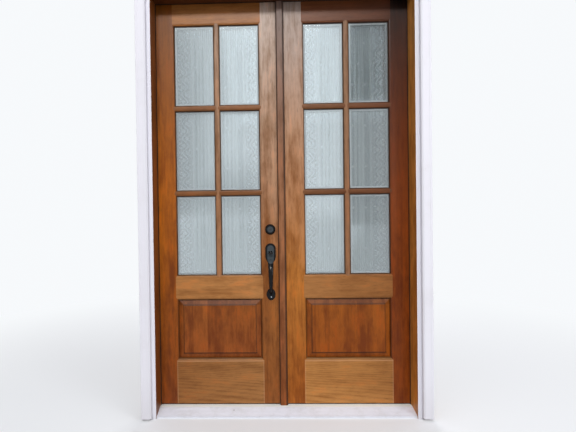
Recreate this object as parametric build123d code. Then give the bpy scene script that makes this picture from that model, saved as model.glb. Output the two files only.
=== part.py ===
"""A pair of inswing wooden french doors in their frame, with glazed upper lites and raised panels.

Millimetres. X runs along the wall, Y from outdoors (minus) to indoors (plus), Z up. The origin is
on the underside of the sill, midway between the jambs, in the plane of the doors' outer face.
"""

from build123d import *
from math import atan2, cos, degrees, pi, sin, sqrt
import os

os.makedirs("parts", exist_ok=True)

# Door leaves
LEAF_W = 759.0
LEAF_H = 2419.0
LEAF_T = 44.5
STILE_FACE = 116.0
TOP_RAIL_FACE = 136.0
LOCK_RAIL_FACE = 126.0
BOTTOM_RAIL_FACE = 259.0
STICK_W = 14.0  # moulded edge round every lite and panel
STICK_D = 12.0
QUIRK = 1.6  # small square step at the top of the moulding
PANEL_H = 352.0  # sight opening of the raised panel; the lites share what is left above it
LITE_ROWS = 3
BAR_W = 40.0
EDGE_BEVEL = 2.3  # taken off the outer corner of the lock edge so that it swings clear

# Insulated glass
PANE_T = 3.0
SPACER_T = 12.0
SPACER_W = 20.0
GLASS_SEAT = STICK_D + 1.0
GLASS_PLAY = 2.0

# Raised panels
BEVEL_W = 34.0
FIELD_SET = 2.5  # field of the panel below the face of the stiles
BEVEL_STEP = 3.0
TONGUE_T = 12.0
TONGUE_L = 9.0
TONGUE_PLAY = 1.0

# Frame
JAMB_D = 166.7
JAMB_T = 19.05
STOP_T = 19.05
SEAL_T = 5.0
SEAL_LIP = 3.5
LEAF_GAP = 3.0
MOULD_W = 57.0
MOULD_T = 31.75
MOULD_REVEAL = 21.0
MOULD_FOOT = 14.0

# Sill
SILL_TOP = 30.0
SILL_NOSE = 12.0
SILL_DEPTH = 112.0  # how far the sill reaches outdoors
SILL_FLAT = 30.0
COVER_T = 1.6
RIB_N = 6
RIB_W = 3.0
RIB_H = 0.9
CAP_T = 16.0
SWEEP_H = 6.0
RUN_CLEAR = 0.3

# Astragal
STEM_T = 9.0
MEET_GAP = 3.0
FLANGE_T = 16.0
FLANGE_LAP = 27.0
FLANGE_BACK = 12.0
FLANGE_ROUND = 9.0

# Butt hinges
HINGE_H = 101.6
HINGE_LEAF_T = 2.6
HINGE_LEAF_W = 36.0
KNUCKLE_R = 6.35
KNUCKLE_SET = 0.15
KNUCKLES = 5
KNUCKLE_GAP = 0.3
PIN_R = 3.2
PIN_FIT = 0.05
HINGE_FROM_END = 178.0
HINGE_N = 4

# Locks
BACKSET = 69.85
LATCH_UP = 908.0  # latch centre above the bottom of the leaf
LOCK_PITCH = 139.7
CROSS_BORE_R = 27.0
EDGE_BORE_R = 12.5
CASE_R = 12.3
CASE_WALL = 1.1
PLATE_W = 25.4
PLATE_H = 57.0
PLATE_T = 2.0
DEADBOLT_Y = 12.0
DEADBOLT_Z = 18.0
DEADBOLT_THROW = 25.4
LATCH_Y = 12.0
LATCH_Z = 16.0
LATCH_THROW = 12.7
BOLT_FIT = 0.4
STRIKE_H = 70.0
STRIKE_W = 28.0

# Outside handleset
ROSE_R = 31.0
ROSE_T = 14.0
PLUG_R = 7.0
ESC_W = 62.0
ESC_H = 112.0
ESC_T = 8.0
FOOT_W = 54.0
FOOT_H = 70.0
FOOT_DOWN = 250.0  # foot centre below the latch centre
GRIP_REACH = 58.0
GRIP_TOP_W = 34.0
GRIP_END_W = 17.0
GRIP_T = 14.0
THUMB_W = 25.0
THUMB_L = 30.0
THUMB_PIN_R = 2.0

# Inside trim
IN_ROSE_R = 33.0
IN_ROSE_T = 9.0
KNOB_R = 27.0
SPINDLE_W = 8.0

# Flush bolts in the meeting edge of the other leaf
ROD_R = 4.0
ROD_FIT = 0.5
ROD_IN = 14.0  # rod centre from the stem's outer face to the stile
ROD_THROW = 19.0
FLUSH_H = 170.0
FLUSH_W = 19.0
FLUSH_FROM_END = 190.0
SLIDER_H = 30.0
SLIDER_W = 9.0

# Sash curtains
ROD_CURTAIN_R = 5.0
ROD_OFF = 20.0
ROD_PAST = 26.0
CURTAIN_T = 1.0
CURTAIN_SWING = 5.0
CURTAIN_FOLDS = 12
CURTAIN_PAST = 4.0

# Worked out from the sizes above
SIGHT_STILE = STILE_FACE + STICK_W
JOINT_W = STEM_T + MEET_GAP
LOCK_EDGE = JOINT_W / 2
HINGE_EDGE = LOCK_EDGE + LEAF_W
RABBET_X = HINGE_EDGE + LEAF_GAP
STOP_X = RABBET_X - STOP_T
JAMB_BACK_X = RABBET_X + JAMB_T
FRONT_Y = LEAF_T - JAMB_D
LEAF_Z = SILL_TOP + SWEEP_H
LEAF_TOP = LEAF_Z + LEAF_H
HEAD_Z = LEAF_TOP + LEAF_GAP
HEAD_TOP = HEAD_Z + JAMB_T
MID_Y = LEAF_T / 2
GLASS_X0 = SIGHT_STILE
GLASS_X1 = LEAF_W - SIGHT_STILE
LITE_W = (GLASS_X1 - GLASS_X0 - BAR_W) / 2
PANEL_Z0 = BOTTOM_RAIL_FACE + STICK_W
PANEL_Z1 = PANEL_Z0 + PANEL_H
GLASS_Z0 = PANEL_Z1 + LOCK_RAIL_FACE + 2 * STICK_W
GLASS_Z1 = LEAF_H - TOP_RAIL_FACE - STICK_W
LITE_H = (GLASS_Z1 - GLASS_Z0 - (LITE_ROWS - 1) * BAR_W) / LITE_ROWS
GLASS_BACK = GLASS_SEAT + 2 * PANE_T + SPACER_T
GLASS_OVER = STICK_W - GLASS_PLAY
HINGE_X = RABBET_X - LEAF_GAP / 2
HINGE_Y = LEAF_T + KNUCKLE_R + KNUCKLE_SET
LOCK_X = LEAF_W - BACKSET  # in the leaf's own frame, measured from its hinge edge
DEAD_UP = LATCH_UP + LOCK_PITCH
STEM_X = LOCK_EDGE - STEM_T  # face of the astragal's stem, on the side of the active leaf
ROD_X = STEM_X + ROD_IN


def block(x0, x1, y0, y1, z0, z1):
    return Pos((x0 + x1) / 2, (y0 + y1) / 2, (z0 + z1) / 2) * Box(x1 - x0, y1 - y0, z1 - z0)


def prism_z(points, z0, z1):
    """A plan outline (x, y) carried up from z0 to z1."""
    face = make_face(Polyline(*points, close=True))
    return Pos(0, 0, z0) * extrude(face, amount=z1 - z0, dir=(0, 0, 1))


def prism_x(points, x0, x1):
    """A cross-section (y, z) carried along X from x0 to x1."""
    plane = Plane(origin=(x0, 0, 0), x_dir=(0, 1, 0), z_dir=(1, 0, 0))
    face = plane * make_face(Polyline(*points, close=True))
    return extrude(face, amount=x1 - x0, dir=(1, 0, 0))


def prism_xz(points, y0, y1):
    """An elevation outline (x, z) carried outwards from y0 to y1."""
    plane = Plane(origin=(0, y0, 0), x_dir=(1, 0, 0), z_dir=(0, -1, 0))
    return extrude(plane * make_face(Polyline(*points, close=True)), amount=y0 - y1)


def rod(radius, start, end):
    """A round bar between two points on a line along one axis."""
    a, b = Vector(*start), Vector(*end)
    plane = Plane(origin=a, z_dir=(b - a).normalized())
    return extrude(plane * Circle(radius), amount=(b - a).length)


def solids(shape):
    return list(shape.solids())


def joined(shapes):
    """Several separate solids kept together as one node."""
    return Compound(children=[s for shape in shapes for s in solids(shape)])


def minus(shape, *tools):
    for tool in tools:
        shape = shape - tool
    return shape


def ovolo(edge, depth, side, inward):
    """Moulded edge from the sight line to the arris: a quarter round under a small square step.

    edge is the sight line across the member, side is +1 where the member lies towards +X of it,
    depth is the face that the moulding starts from and inward is the way into the wood.
    """
    step = 1.0
    run, drop = STICK_W - step, STICK_D - QUIRK
    # the arc leaves the step level with the face and comes down to the sight line
    radius = (run**2 + drop**2) / (2 * drop)
    half = atan2(run, radius - drop) / 2
    low = (edge, depth + inward * STICK_D)
    top = (edge + side * run, depth + inward * QUIRK)
    mid = (
        edge + side * (run - radius * sin(half)),
        depth + inward * (QUIRK + radius * (1 - cos(half))),
    )
    corner = (edge + side * STICK_W, depth + inward * QUIRK)
    arris = (edge + side * STICK_W, depth)
    return ThreePointArc(low, mid, top), [low, top, corner, arris]


def moulding_cut(edge, side, z0, z1, inside):
    """What the moulding plane takes off a square edge, on the outdoor or the indoor face."""
    depth, inward = (LEAF_T, -1) if inside else (0.0, 1)
    arc, (low, top, corner, arris) = ovolo(edge, depth, side, inward)
    out = (edge - side * 2.0, depth - inward * 2.0)
    lines = [
        arc,
        Line(top, corner),
        Line(corner, (arris[0], out[1])),
        Line((arris[0], out[1]), out),
        Line(out, (out[0], low[1])),
        Line((out[0], low[1]), low),
    ]
    return Pos(0, 0, z0) * extrude(make_face(lines), amount=z1 - z0, dir=(0, 0, 1))


def glass_edge(edge, side, z0, z1):
    """Cuts for an edge that holds glass: moulding outdoors, open rabbet indoors."""
    far = edge - side * 2.0
    x0, x1 = sorted((far, edge + side * STICK_W))
    return [
        moulding_cut(edge, side, z0, z1, inside=False),
        block(x0, x1, GLASS_SEAT, LEAF_T + 2, z0, z1),
    ]


def panel_edge(edge, side, z0, z1):
    """Cuts for an edge that holds a wooden panel: moulding on both faces, groove between."""
    far = edge - side * 2.0
    x0, x1 = sorted((far, edge + side * (TONGUE_L + TONGUE_PLAY)))
    half = TONGUE_T / 2
    return [
        moulding_cut(edge, side, z0, z1, inside=False),
        moulding_cut(edge, side, z0, z1, inside=True),
        block(x0, x1, MID_Y - half, MID_Y + half, z0, z1),
    ]


def upright_member(width, z0, z1, cuts):
    return minus(block(0, width, 0, LEAF_T, z0, z1), *cuts)


def laid(member, x1, z0):
    """An upright member laid along X: its width goes up from z0, its length back from x1."""
    return Pos(x1, 0, z0) * Rot(0, -90, 0) * member


def stiles():
    """Both full-height stiles of a leaf, hinge side first, in the leaf's own frame."""
    split = PANEL_Z1 + STICK_W + LOCK_RAIL_FACE / 2
    hinge = upright_member(
        SIGHT_STILE,
        0,
        LEAF_H,
        panel_edge(SIGHT_STILE, -1, -1, split) + glass_edge(SIGHT_STILE, -1, split, LEAF_H + 1),
    )
    lock = Pos(LEAF_W - SIGHT_STILE, 0, 0) * upright_member(
        SIGHT_STILE,
        0,
        LEAF_H,
        panel_edge(0, 1, -1, split) + glass_edge(0, 1, split, LEAF_H + 1),
    )
    return hinge, lock


def rails(hinge, lock):
    """Top, lock and bottom rails, their ends coped over the mouldings of the stiles."""
    x0, x1 = STILE_FACE, LEAF_W - STILE_FACE
    run = x1 - x0
    top_w = TOP_RAIL_FACE + STICK_W
    lock_w = LOCK_RAIL_FACE + 2 * STICK_W
    bottom_w = BOTTOM_RAIL_FACE + STICK_W
    top = upright_member(top_w, 0, run, glass_edge(0, 1, -1, run + 1))
    mid = upright_member(
        lock_w,
        0,
        run,
        panel_edge(0, 1, -1, run + 1) + glass_edge(lock_w, -1, -1, run + 1),
    )
    low = upright_member(bottom_w, 0, run, panel_edge(bottom_w, -1, -1, run + 1))
    placed = [
        laid(top, x1, LEAF_H - top_w),
        laid(mid, x1, PANEL_Z1),
        laid(low, x1, 0),
    ]
    return [minus(rail, hinge, lock) for rail in placed]


def glazing_bars(hinge, lock, top, mid):
    """The upright bar between the rails and the cross bars let in between it and the stiles."""
    z0, z1 = GLASS_Z0 - STICK_W, GLASS_Z1 + STICK_W
    edges = glass_edge(0, 1, z0 - 1, z1 + 1) + glass_edge(BAR_W, -1, z0 - 1, z1 + 1)
    upright = Pos((LEAF_W - BAR_W) / 2, 0, 0) * upright_member(BAR_W, z0, z1, edges)
    upright = minus(upright, top, mid)
    x0, x1 = STILE_FACE, LEAF_W - STILE_FACE
    run = x1 - x0
    edges = glass_edge(0, 1, -1, run + 1) + glass_edge(BAR_W, -1, -1, run + 1)
    bar = upright_member(BAR_W, 0, run, edges)
    cross = []
    for row in range(1, LITE_ROWS):
        z = GLASS_Z0 + row * LITE_H + (row - 1) * BAR_W
        cross.append(minus(laid(bar, x1, z), hinge, lock, upright))
    return upright, joined(cross)


def lites():
    """Sight opening of every lite: x0, x1, z0, z1 in the leaf's own frame."""
    for row in range(LITE_ROWS):
        z0 = GLASS_Z0 + row * (LITE_H + BAR_W)
        for col in range(2):
            x0 = GLASS_X0 + col * (LITE_W + BAR_W)
            yield x0, x0 + LITE_W, z0, z0 + LITE_H


def glazing():
    """Panes, metal spacers and wooden beads of one leaf; two panes and a spacer to each lite."""
    over, panes, spacers, beads = GLASS_OVER, [], [], []
    y1 = GLASS_SEAT + PANE_T
    y2 = y1 + SPACER_T
    set_in = 2.0
    for x0, x1, z0, z1 in lites():
        a, b, c, d = x0 - over, x1 + over, z0 - over, z1 + over
        panes.append(block(a, b, GLASS_SEAT, y1, c, d))
        panes.append(block(a, b, y2, GLASS_BACK, c, d))
        frame = block(a + set_in, b - set_in, y1, y2, c + set_in, d - set_in)
        hole = set_in + SPACER_W
        spacers.append(frame - block(a + hole, b - hole, y1 - 1, y2 + 1, c + hole, d - hole))
        beads += bead_frame(x0, x1, z0, z1)
    return joined(panes), joined(spacers), joined(beads)


def bead_frame(x0, x1, z0, z1):
    """Four mitred glazing beads round one lite, on the indoor side."""
    arc, (low, top, corner, arris) = ovolo(0, LEAF_T, 1, -1)
    lines = [
        arc,
        Line(top, corner),
        Line(corner, arris),
        Line(arris, (STICK_W, GLASS_BACK)),
        Line((STICK_W, GLASS_BACK), (0, GLASS_BACK)),
        Line((0, GLASS_BACK), low),
    ]
    section = make_face(lines)
    result, reach = [], 4 * LEAF_T
    for run, turn in ((z1 - z0, False), (x1 - x0, True)):
        stick = extrude(section, amount=run + 2 * STICK_W, dir=(0, 0, 1))
        # the stick stands on the z axis with its moulded edge at x = 0; both ends are mitred
        stick = Pos(0, 0, -run / 2 - STICK_W) * stick
        for sign in (1, -1):
            corner_z = sign * run / 2
            wedge = Plane(
                origin=(0, 0, corner_z), x_dir=(0, 1, 0), z_dir=(-1, 0, sign)
            ) * Box(reach, reach, reach, align=(Align.CENTER, Align.CENTER, Align.MIN))
            stick = stick - wedge
        cx, cz = (x0 + x1) / 2, (z0 + z1) / 2
        half = (z1 - z0) / 2 if turn else (x1 - x0) / 2
        for turned in (0, 180):
            angle = turned + (-90 if turn else 0)
            result.append(Pos(cx, 0, cz) * Rot(0, angle, 0) * Pos(half, 0, 0) * stick)
    return result


def raised_panel():
    """A panel whose bevels fall from the raised field to a tongue in the groove, on both faces."""
    over = TONGUE_L
    half = TONGUE_T / 2
    field = MID_Y - FIELD_SET

    def outline(a, b):
        """Half sections of the panel from edge a to edge b, as (across, depth)."""
        near = [
            (a - over, -half),
            (a, -half),
            (a + BEVEL_W, -field + BEVEL_STEP),
            (a + BEVEL_W, -field),
            (b - BEVEL_W, -field),
            (b - BEVEL_W, -field + BEVEL_STEP),
            (b, -half),
            (b + over, -half),
        ]
        return near + [(u, -v) for u, v in reversed(near)]

    across = [(u, MID_Y + v) for u, v in outline(GLASS_X0, GLASS_X1)]
    up = [(MID_Y + v, u) for u, v in outline(PANEL_Z0, PANEL_Z1)]
    wide = prism_z(across, PANEL_Z0 - over, PANEL_Z1 + over)
    tall = prism_x(up, GLASS_X0 - over, GLASS_X1 + over)
    return wide & tall


def hinge_heights():
    """Lower end of every hinge above the bottom of the leaf."""
    low = HINGE_FROM_END
    high = LEAF_H - HINGE_FROM_END - HINGE_H
    return [low + i * (high - low) / (HINGE_N - 1) for i in range(HINGE_N)]


def knuckle_spans(mine):
    """Z spans of the knuckles on the frame's leaf (mine 0) or the door's leaf (mine 1)."""
    pitch = HINGE_H / KNUCKLES
    for i in range(mine, KNUCKLES, 2):
        yield i * pitch + KNUCKLE_GAP / 2, (i + 1) * pitch - KNUCKLE_GAP / 2


def hinge_leaf(x_plate, mine):
    """One hinge plate with its knuckles; x_plate is the plate's inner face from the pin's axis."""
    side = 1 if x_plate > 0 else -1
    x0, x1 = sorted((x_plate, x_plate + side * HINGE_LEAF_T))
    back = HINGE_Y - LEAF_T
    plate = block(x0, x1, -back - HINGE_LEAF_W, -back, 0, HINGE_H)
    shape = plate
    for a, b in knuckle_spans(mine):
        shape = shape + block(x0, x1, -back, 0, a, b)
        shape = shape + rod(KNUCKLE_R, (0, 0, a), (0, 0, b))
    return shape - rod(PIN_R + PIN_FIT, (0, 0, -1), (0, 0, HINGE_H + 1))


def hinge_pin():
    head = 3.0
    body = rod(PIN_R, (0, 0, 0), (0, 0, HINGE_H))
    for z0, z1 in ((-head, 0.0), (HINGE_H, HINGE_H + head)):
        body = body + rod(KNUCKLE_R - 0.6, (0, 0, z0), (0, 0, z1))
    return body


def hinge_sets():
    """Frame leaves, door leaves and pins of the left-hand hinges, in the part's frame."""
    frame_leaf, door_leaf, pins = [], [], []
    for z in hinge_heights():
        at = Pos(-HINGE_X, HINGE_Y, LEAF_Z + z)
        frame_leaf.append(at * hinge_leaf(-LEAF_GAP / 2, 0))
        door_leaf.append(at * hinge_leaf(LEAF_GAP / 2, 1))
        pins.append(at * hinge_pin())
    return joined(frame_leaf), joined(door_leaf), joined(pins)


def hinge_mortises(side):
    """Pockets for the plates in the left jamb (side -1) or in the left leaf's edge (side +1)."""
    edge = -HINGE_X + side * LEAF_GAP / 2
    x0, x1 = sorted((edge - side, edge + side * HINGE_LEAF_T))
    return [
        block(x0, x1, LEAF_T - HINGE_LEAF_W, LEAF_T + 1, LEAF_Z + z, LEAF_Z + z + HINGE_H)
        for z in hinge_heights()
    ]


def jamb_section(sign):
    """Plan of a side jamb: a board with the stop standing out of it on the outdoor side."""
    return [
        (sign * STOP_X, FRONT_Y),
        (sign * JAMB_BACK_X, FRONT_Y),
        (sign * JAMB_BACK_X, LEAF_T),
        (sign * RABBET_X, LEAF_T),
        (sign * RABBET_X, -SEAL_T),
        (sign * STOP_X, -SEAL_T),
    ]


def side_jamb():
    return minus(prism_z(jamb_section(-1), 0, HEAD_TOP), *hinge_mortises(-1))


def head_jamb(left, right):
    section = [
        (FRONT_Y, HEAD_Z - STOP_T),
        (FRONT_Y, HEAD_TOP),
        (LEAF_T, HEAD_TOP),
        (LEAF_T, HEAD_Z),
        (-SEAL_T, HEAD_Z),
        (-SEAL_T, HEAD_Z - STOP_T),
    ]
    hole = rod(ROD_R + ROD_FIT, (ROD_X, MID_Y, HEAD_Z - 1), (ROD_X, MID_Y, HEAD_TOP + 1))
    plate = strike_box(HEAD_Z, HEAD_Z + PLATE_T)
    head = prism_x(section, -JAMB_BACK_X, JAMB_BACK_X)
    return minus(head, left, right, hole, plate)


def strike_box(z0, z1):
    """Plan of the small plates that the flush bolts enter, above and below the leaf."""
    return block(ROD_X - 11, ROD_X + 11, MID_Y - 9, MID_Y + 9, z0, z1)


def rod_strike(z0, z1):
    hole = rod(ROD_R + ROD_FIT, (ROD_X, MID_Y, z0 - 1), (ROD_X, MID_Y, z1 + 1))
    return strike_box(z0, z1) - hole


def brickmould_section():
    """(across from the opening, out from the jamb's edge): flat face, cove and outer back band."""
    w, t = MOULD_W, MOULD_T
    return [
        (0, 0),
        (0, t - 8),
        (2.5, t - 5),
        (7, t - 3),
        (8.5, t - 1.5),
        (w - 13, t - 1.5),
        (w - 11, t),
        (w - 1.5, t),
        (w, t - 1.5),
        (w, 0),
    ]


def brickmoulds():
    """Left leg and head of the outside casing, mitred together at the corners."""
    inner_x = STOP_X + MOULD_REVEAL
    inner_z = HEAD_Z - STOP_T + MOULD_REVEAL
    past = 2 * MOULD_W
    section = brickmould_section()
    leg = prism_z(
        [(-inner_x - u, FRONT_Y - v) for u, v in section], MOULD_FOOT, inner_z + past
    )
    head = prism_x(
        [(FRONT_Y - v, inner_z + u) for u, v in section], -inner_x - past, inner_x + past
    )
    # everything above the two lines at 45 degrees belongs to the head
    keep = prism_xz(
        [
            (-inner_x, inner_z),
            (inner_x, inner_z),
            (inner_x + past, inner_z + past),
            (-inner_x - past, inner_z + past),
        ],
        FRONT_Y + 5,
        FRONT_Y - MOULD_T - 5,
    )
    leg = leg - keep
    return leg, head & keep


def sill_deck(y):
    """Height of the finished outdoor deck at a distance y."""
    if y > -SILL_FLAT:
        return SILL_TOP
    fall = (SILL_TOP - SILL_NOSE) / (SILL_DEPTH - SILL_FLAT)
    return SILL_TOP + (y + SILL_FLAT) * fall


def sill(left, right):
    """Wooden core, aluminium cover with its ribs, and the indoor cap, between the jambs."""
    nose = -SILL_DEPTH
    t = COVER_T
    cap_y = 2.0
    core = [
        (nose + t, 0),
        (LEAF_T, 0),
        (LEAF_T, SILL_TOP - CAP_T),
        (cap_y, SILL_TOP - CAP_T),
        (cap_y, SILL_TOP - t),
        (-SILL_FLAT, SILL_TOP - t),
        (nose + t, sill_deck(nose) - t),
    ]
    cover = [
        (nose, 0),
        (nose + t, 0),
        (nose + t, sill_deck(nose) - t),
        (-SILL_FLAT, SILL_TOP - t),
        (cap_y, SILL_TOP - t),
        (cap_y, SILL_TOP),
        (-SILL_FLAT, SILL_TOP),
    ]
    pitch = (SILL_DEPTH - SILL_FLAT) / (RIB_N + 1)
    for i in range(1, RIB_N + 1):
        y = -SILL_FLAT - i * pitch
        a, b = y + RIB_W / 2, y - RIB_W / 2
        cover += [
            (a, sill_deck(a)),
            (a - 0.5, sill_deck(a) + RIB_H),
            (b + 0.5, sill_deck(b) + RIB_H),
            (b, sill_deck(b)),
        ]
    cover.append((nose, sill_deck(nose)))
    cap = [
        (cap_y, SILL_TOP - CAP_T),
        (LEAF_T, SILL_TOP - CAP_T),
        (LEAF_T, SILL_TOP - 3),
        (LEAF_T - 3, SILL_TOP),
        (cap_y, SILL_TOP),
    ]
    core, cover, cap = (
        minus(prism_x(s, -RABBET_X, RABBET_X), left, right) for s in (core, cover, cap)
    )
    deep = SILL_TOP - ROD_THROW - 3
    hole = rod(ROD_R + ROD_FIT, (ROD_X, MID_Y, deep), (ROD_X, MID_Y, SILL_TOP + 1))
    cap = minus(cap, hole, strike_box(SILL_TOP - PLATE_T, SILL_TOP + 1))
    return core - hole, cover, cap


def weatherstrips():
    """Foam seals in the corner of the stops, for the left jamb and the head."""
    y0, y1 = -SEAL_T, -RUN_CLEAR
    side = block(-RABBET_X, -STOP_X + SEAL_LIP, y0, y1, SILL_TOP + RUN_CLEAR, HEAD_Z)
    lip = HEAD_Z - STOP_T - SEAL_LIP
    inner = STOP_X - SEAL_LIP
    head = block(-inner, inner, y0, y1, lip, HEAD_Z)
    return side, head


def sweep_seal():
    """Seal under a leaf, in the part's frame, from the hinge edge to its own meeting edge."""
    x0, x1 = -HINGE_EDGE, -LOCK_EDGE - EDGE_BEVEL - 0.5
    body = block(x0, x1, 3, LEAF_T - 3, SILL_TOP + RUN_CLEAR, LEAF_Z)
    for i in range(3):
        y = 9 + i * 10
        body = body - block(x0 - 1, x1 + 1, y, y + 5, SILL_TOP, SILL_TOP + SWEEP_H / 2)
    return body


def astragal():
    """T-shaped moulding on the meeting edge of the right leaf."""
    r = FLANGE_ROUND
    x0, x1 = LOCK_EDGE - STEM_T - FLANGE_LAP, LOCK_EDGE + FLANGE_BACK
    gap = RUN_CLEAR
    face = -gap - FLANGE_T
    k = r * (1 - cos(pi / 4))
    lines = [
        Line((x0, -gap), (x0, face + r)),
        ThreePointArc((x0, face + r), (x0 + k, face + k), (x0 + r, face)),
        Line((x0 + r, face), (x1 - r, face)),
        ThreePointArc((x1 - r, face), (x1 - k, face + k), (x1, face + r)),
        Line((x1, face + r), (x1, 0)),
        Line((x1, 0), (LOCK_EDGE, 0)),
        Line((LOCK_EDGE, 0), (LOCK_EDGE, LEAF_T)),
        Line((LOCK_EDGE, LEAF_T), (STEM_X, LEAF_T)),
        Line((STEM_X, LEAF_T), (STEM_X, -gap)),
        Line((STEM_X, -gap), (x0, -gap)),
    ]
    z0, z1 = SILL_TOP + RUN_CLEAR, LEAF_TOP
    body = Pos(0, 0, z0) * extrude(make_face(lines), amount=z1 - z0, dir=(0, 0, 1))
    # the flange stops under the head seal, the stem at the bottom of the leaf
    body = body - block(x0 - 1, x1 + 1, face - 1, 0, HEAD_Z - STOP_T - SEAL_LIP - RUN_CLEAR, z1 + 1)
    body = body - block(STEM_X - 1, LOCK_EDGE + 1, 0, LEAF_T + 1, z0 - 1, LEAF_Z)
    pockets = bolt_pockets() + flush_pockets()
    return minus(body, *pockets)


def bolt_pockets():
    """Mortises in the astragal and the right leaf's edge for the lock bolts and their strikes."""
    result = []
    for z, wide, high, throw in lock_bolts():
        y, h = wide / 2 + 1.0, high / 2 + 1.0
        end = -LOCK_EDGE + throw + 4
        result.append(block(STEM_X - 1, end, MID_Y - y, MID_Y + y, z - h, z + h))
        result.append(strike_block(z, proud=1.0))
    return result


def lock_bolts():
    """Height, width, depth and throw of the deadbolt and the latch bolt."""
    return [
        (LEAF_Z + DEAD_UP, DEADBOLT_Y, DEADBOLT_Z, DEADBOLT_THROW),
        (LEAF_Z + LATCH_UP, LATCH_Y, LATCH_Z, LATCH_THROW),
    ]


def strike_block(z, proud=0.0):
    """A strike plate's block; proud lengthens it outwards to cut its recess."""
    half = STRIKE_H / 2
    y = STRIKE_W / 2
    return block(STEM_X - proud, STEM_X + PLATE_T, MID_Y - y, MID_Y + y, z - half, z + half)


def strikes():
    """Deadbolt strike and latch strike, let in flush in the astragal's stem."""
    plates = []
    for z, wide, high, _ in lock_bolts():
        y, h = wide / 2 + 1.0, high / 2 + 1.0
        hole = block(STEM_X - 1, STEM_X + PLATE_T + 1, MID_Y - y, MID_Y + y, z - h, z + h)
        plates.append(strike_block(z) - hole)
    return plates


def flush_spans():
    """Centre heights of the upper and the lower flush bolt, and the way each rod runs."""
    return [(LEAF_TOP - FLUSH_FROM_END, 1), (LEAF_Z + FLUSH_FROM_END, -1)]


def flush_plate_block(z, proud=0.0):
    h, w = FLUSH_H / 2, FLUSH_W / 2
    return block(STEM_X - proud, STEM_X + PLATE_T, MID_Y - w, MID_Y + w, z - h, z + h)


def flush_pockets():
    """Plate recess, slider cavity and rod bore for both flush bolts."""
    cuts = []
    for z, way in flush_spans():
        cuts.append(flush_plate_block(z, proud=1.0))
        cavity = FLUSH_H / 2 - 15
        s = SLIDER_W / 2 + ROD_FIT
        cuts.append(block(STEM_X, ROD_X + s, MID_Y - s, MID_Y + s, z - cavity, z + cavity))
        end = LEAF_TOP + 1 if way > 0 else LEAF_Z - 1
        cuts.append(rod(ROD_R + ROD_FIT, (ROD_X, MID_Y, z), (ROD_X, MID_Y, end)))
    return cuts


def flush_slot(z, way):
    """Z span of the slot in the plate that the finger tab runs in."""
    tab = 5.0
    low, high = (-tab, ROD_THROW + tab) if way > 0 else (-ROD_THROW - tab, tab)
    return z + low, z + high


def flush_bolts():
    """Moving rod with its slider, and the fixed face plate, for the upper and the lower bolt."""
    moving, plates = [], []
    for z, way in flush_spans():
        s, half = SLIDER_W / 2, SLIDER_H / 2
        end = LEAF_TOP - 0.5 if way > 0 else LEAF_Z + 0.5
        bolt = block(STEM_X + PLATE_T + 0.5, ROD_X + s, MID_Y - s, MID_Y + s, z - half, z + half)
        bolt = bolt + rod(ROD_R, (ROD_X, MID_Y, z), (ROD_X, MID_Y, end))
        bolt = bolt + block(STEM_X - 1.2, STEM_X + PLATE_T + 1, MID_Y - 3, MID_Y + 3, z - 4, z + 4)
        moving.append(bolt)
        a, b = flush_slot(z, way)
        slot = block(STEM_X - 1, STEM_X + PLATE_T + 1, MID_Y - 3.5, MID_Y + 3.5, a, b)
        plates.append(flush_plate_block(z) - slot)
    return moving, plates


def lock_stile_cuts():
    """Bores for the lock and latch of the left leaf, and the bevel on its meeting edge."""
    bevel = [
        (LEAF_W - EDGE_BEVEL, -1),
        (LEAF_W - EDGE_BEVEL, 0),
        (LEAF_W, LEAF_T),
        (LEAF_W + 1, LEAF_T + 1),
        (LEAF_W + 1, -1),
    ]
    cuts = [prism_z(bevel, -1, LEAF_H + 1)]
    for z in (LATCH_UP, DEAD_UP):
        cuts.append(rod(CROSS_BORE_R, (LOCK_X, -1, z), (LOCK_X, LEAF_T + 1, z)))
        cuts.append(rod(EDGE_BORE_R, (LOCK_X, MID_Y, z), (LEAF_W + 1, MID_Y, z)))
        cuts.append(edge_plate(z, 3.0))
    return cuts


def edge_plate(z, proud=0.0):
    """The face plate on the bevelled edge; proud lengthens it outwards to cut its recess."""
    tilt = degrees(atan2(EDGE_BEVEL, LEAF_T))
    at = Pos(LEAF_W - EDGE_BEVEL / 2, MID_Y, z) * Rot(0, 0, -tilt)
    return at * block(-PLATE_T, proud, -PLATE_W / 2, PLATE_W / 2, -PLATE_H / 2, PLATE_H / 2)


def bolt_case(z, wide, high):
    """Tube in the edge bore with its face plate, pierced for the bolt."""
    inner = CASE_R - CASE_WALL
    x0 = LOCK_X + 19  # clear of the deadbolt's tail and crank when they are thrown
    x1 = LEAF_W - EDGE_BEVEL / 2 - PLATE_T
    tube = rod(CASE_R, (x0, MID_Y, z), (x1 + 0.2, MID_Y, z))
    tube = tube - rod(inner, (x0 - 1, MID_Y, z), (x1 + 1, MID_Y, z))
    y, h = wide / 2 + BOLT_FIT, high / 2 + BOLT_FIT
    plate = edge_plate(z) - block(x1 - 5, x1 + 9, MID_Y - y, MID_Y + y, z - h, z + h)
    return plate + tube


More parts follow.
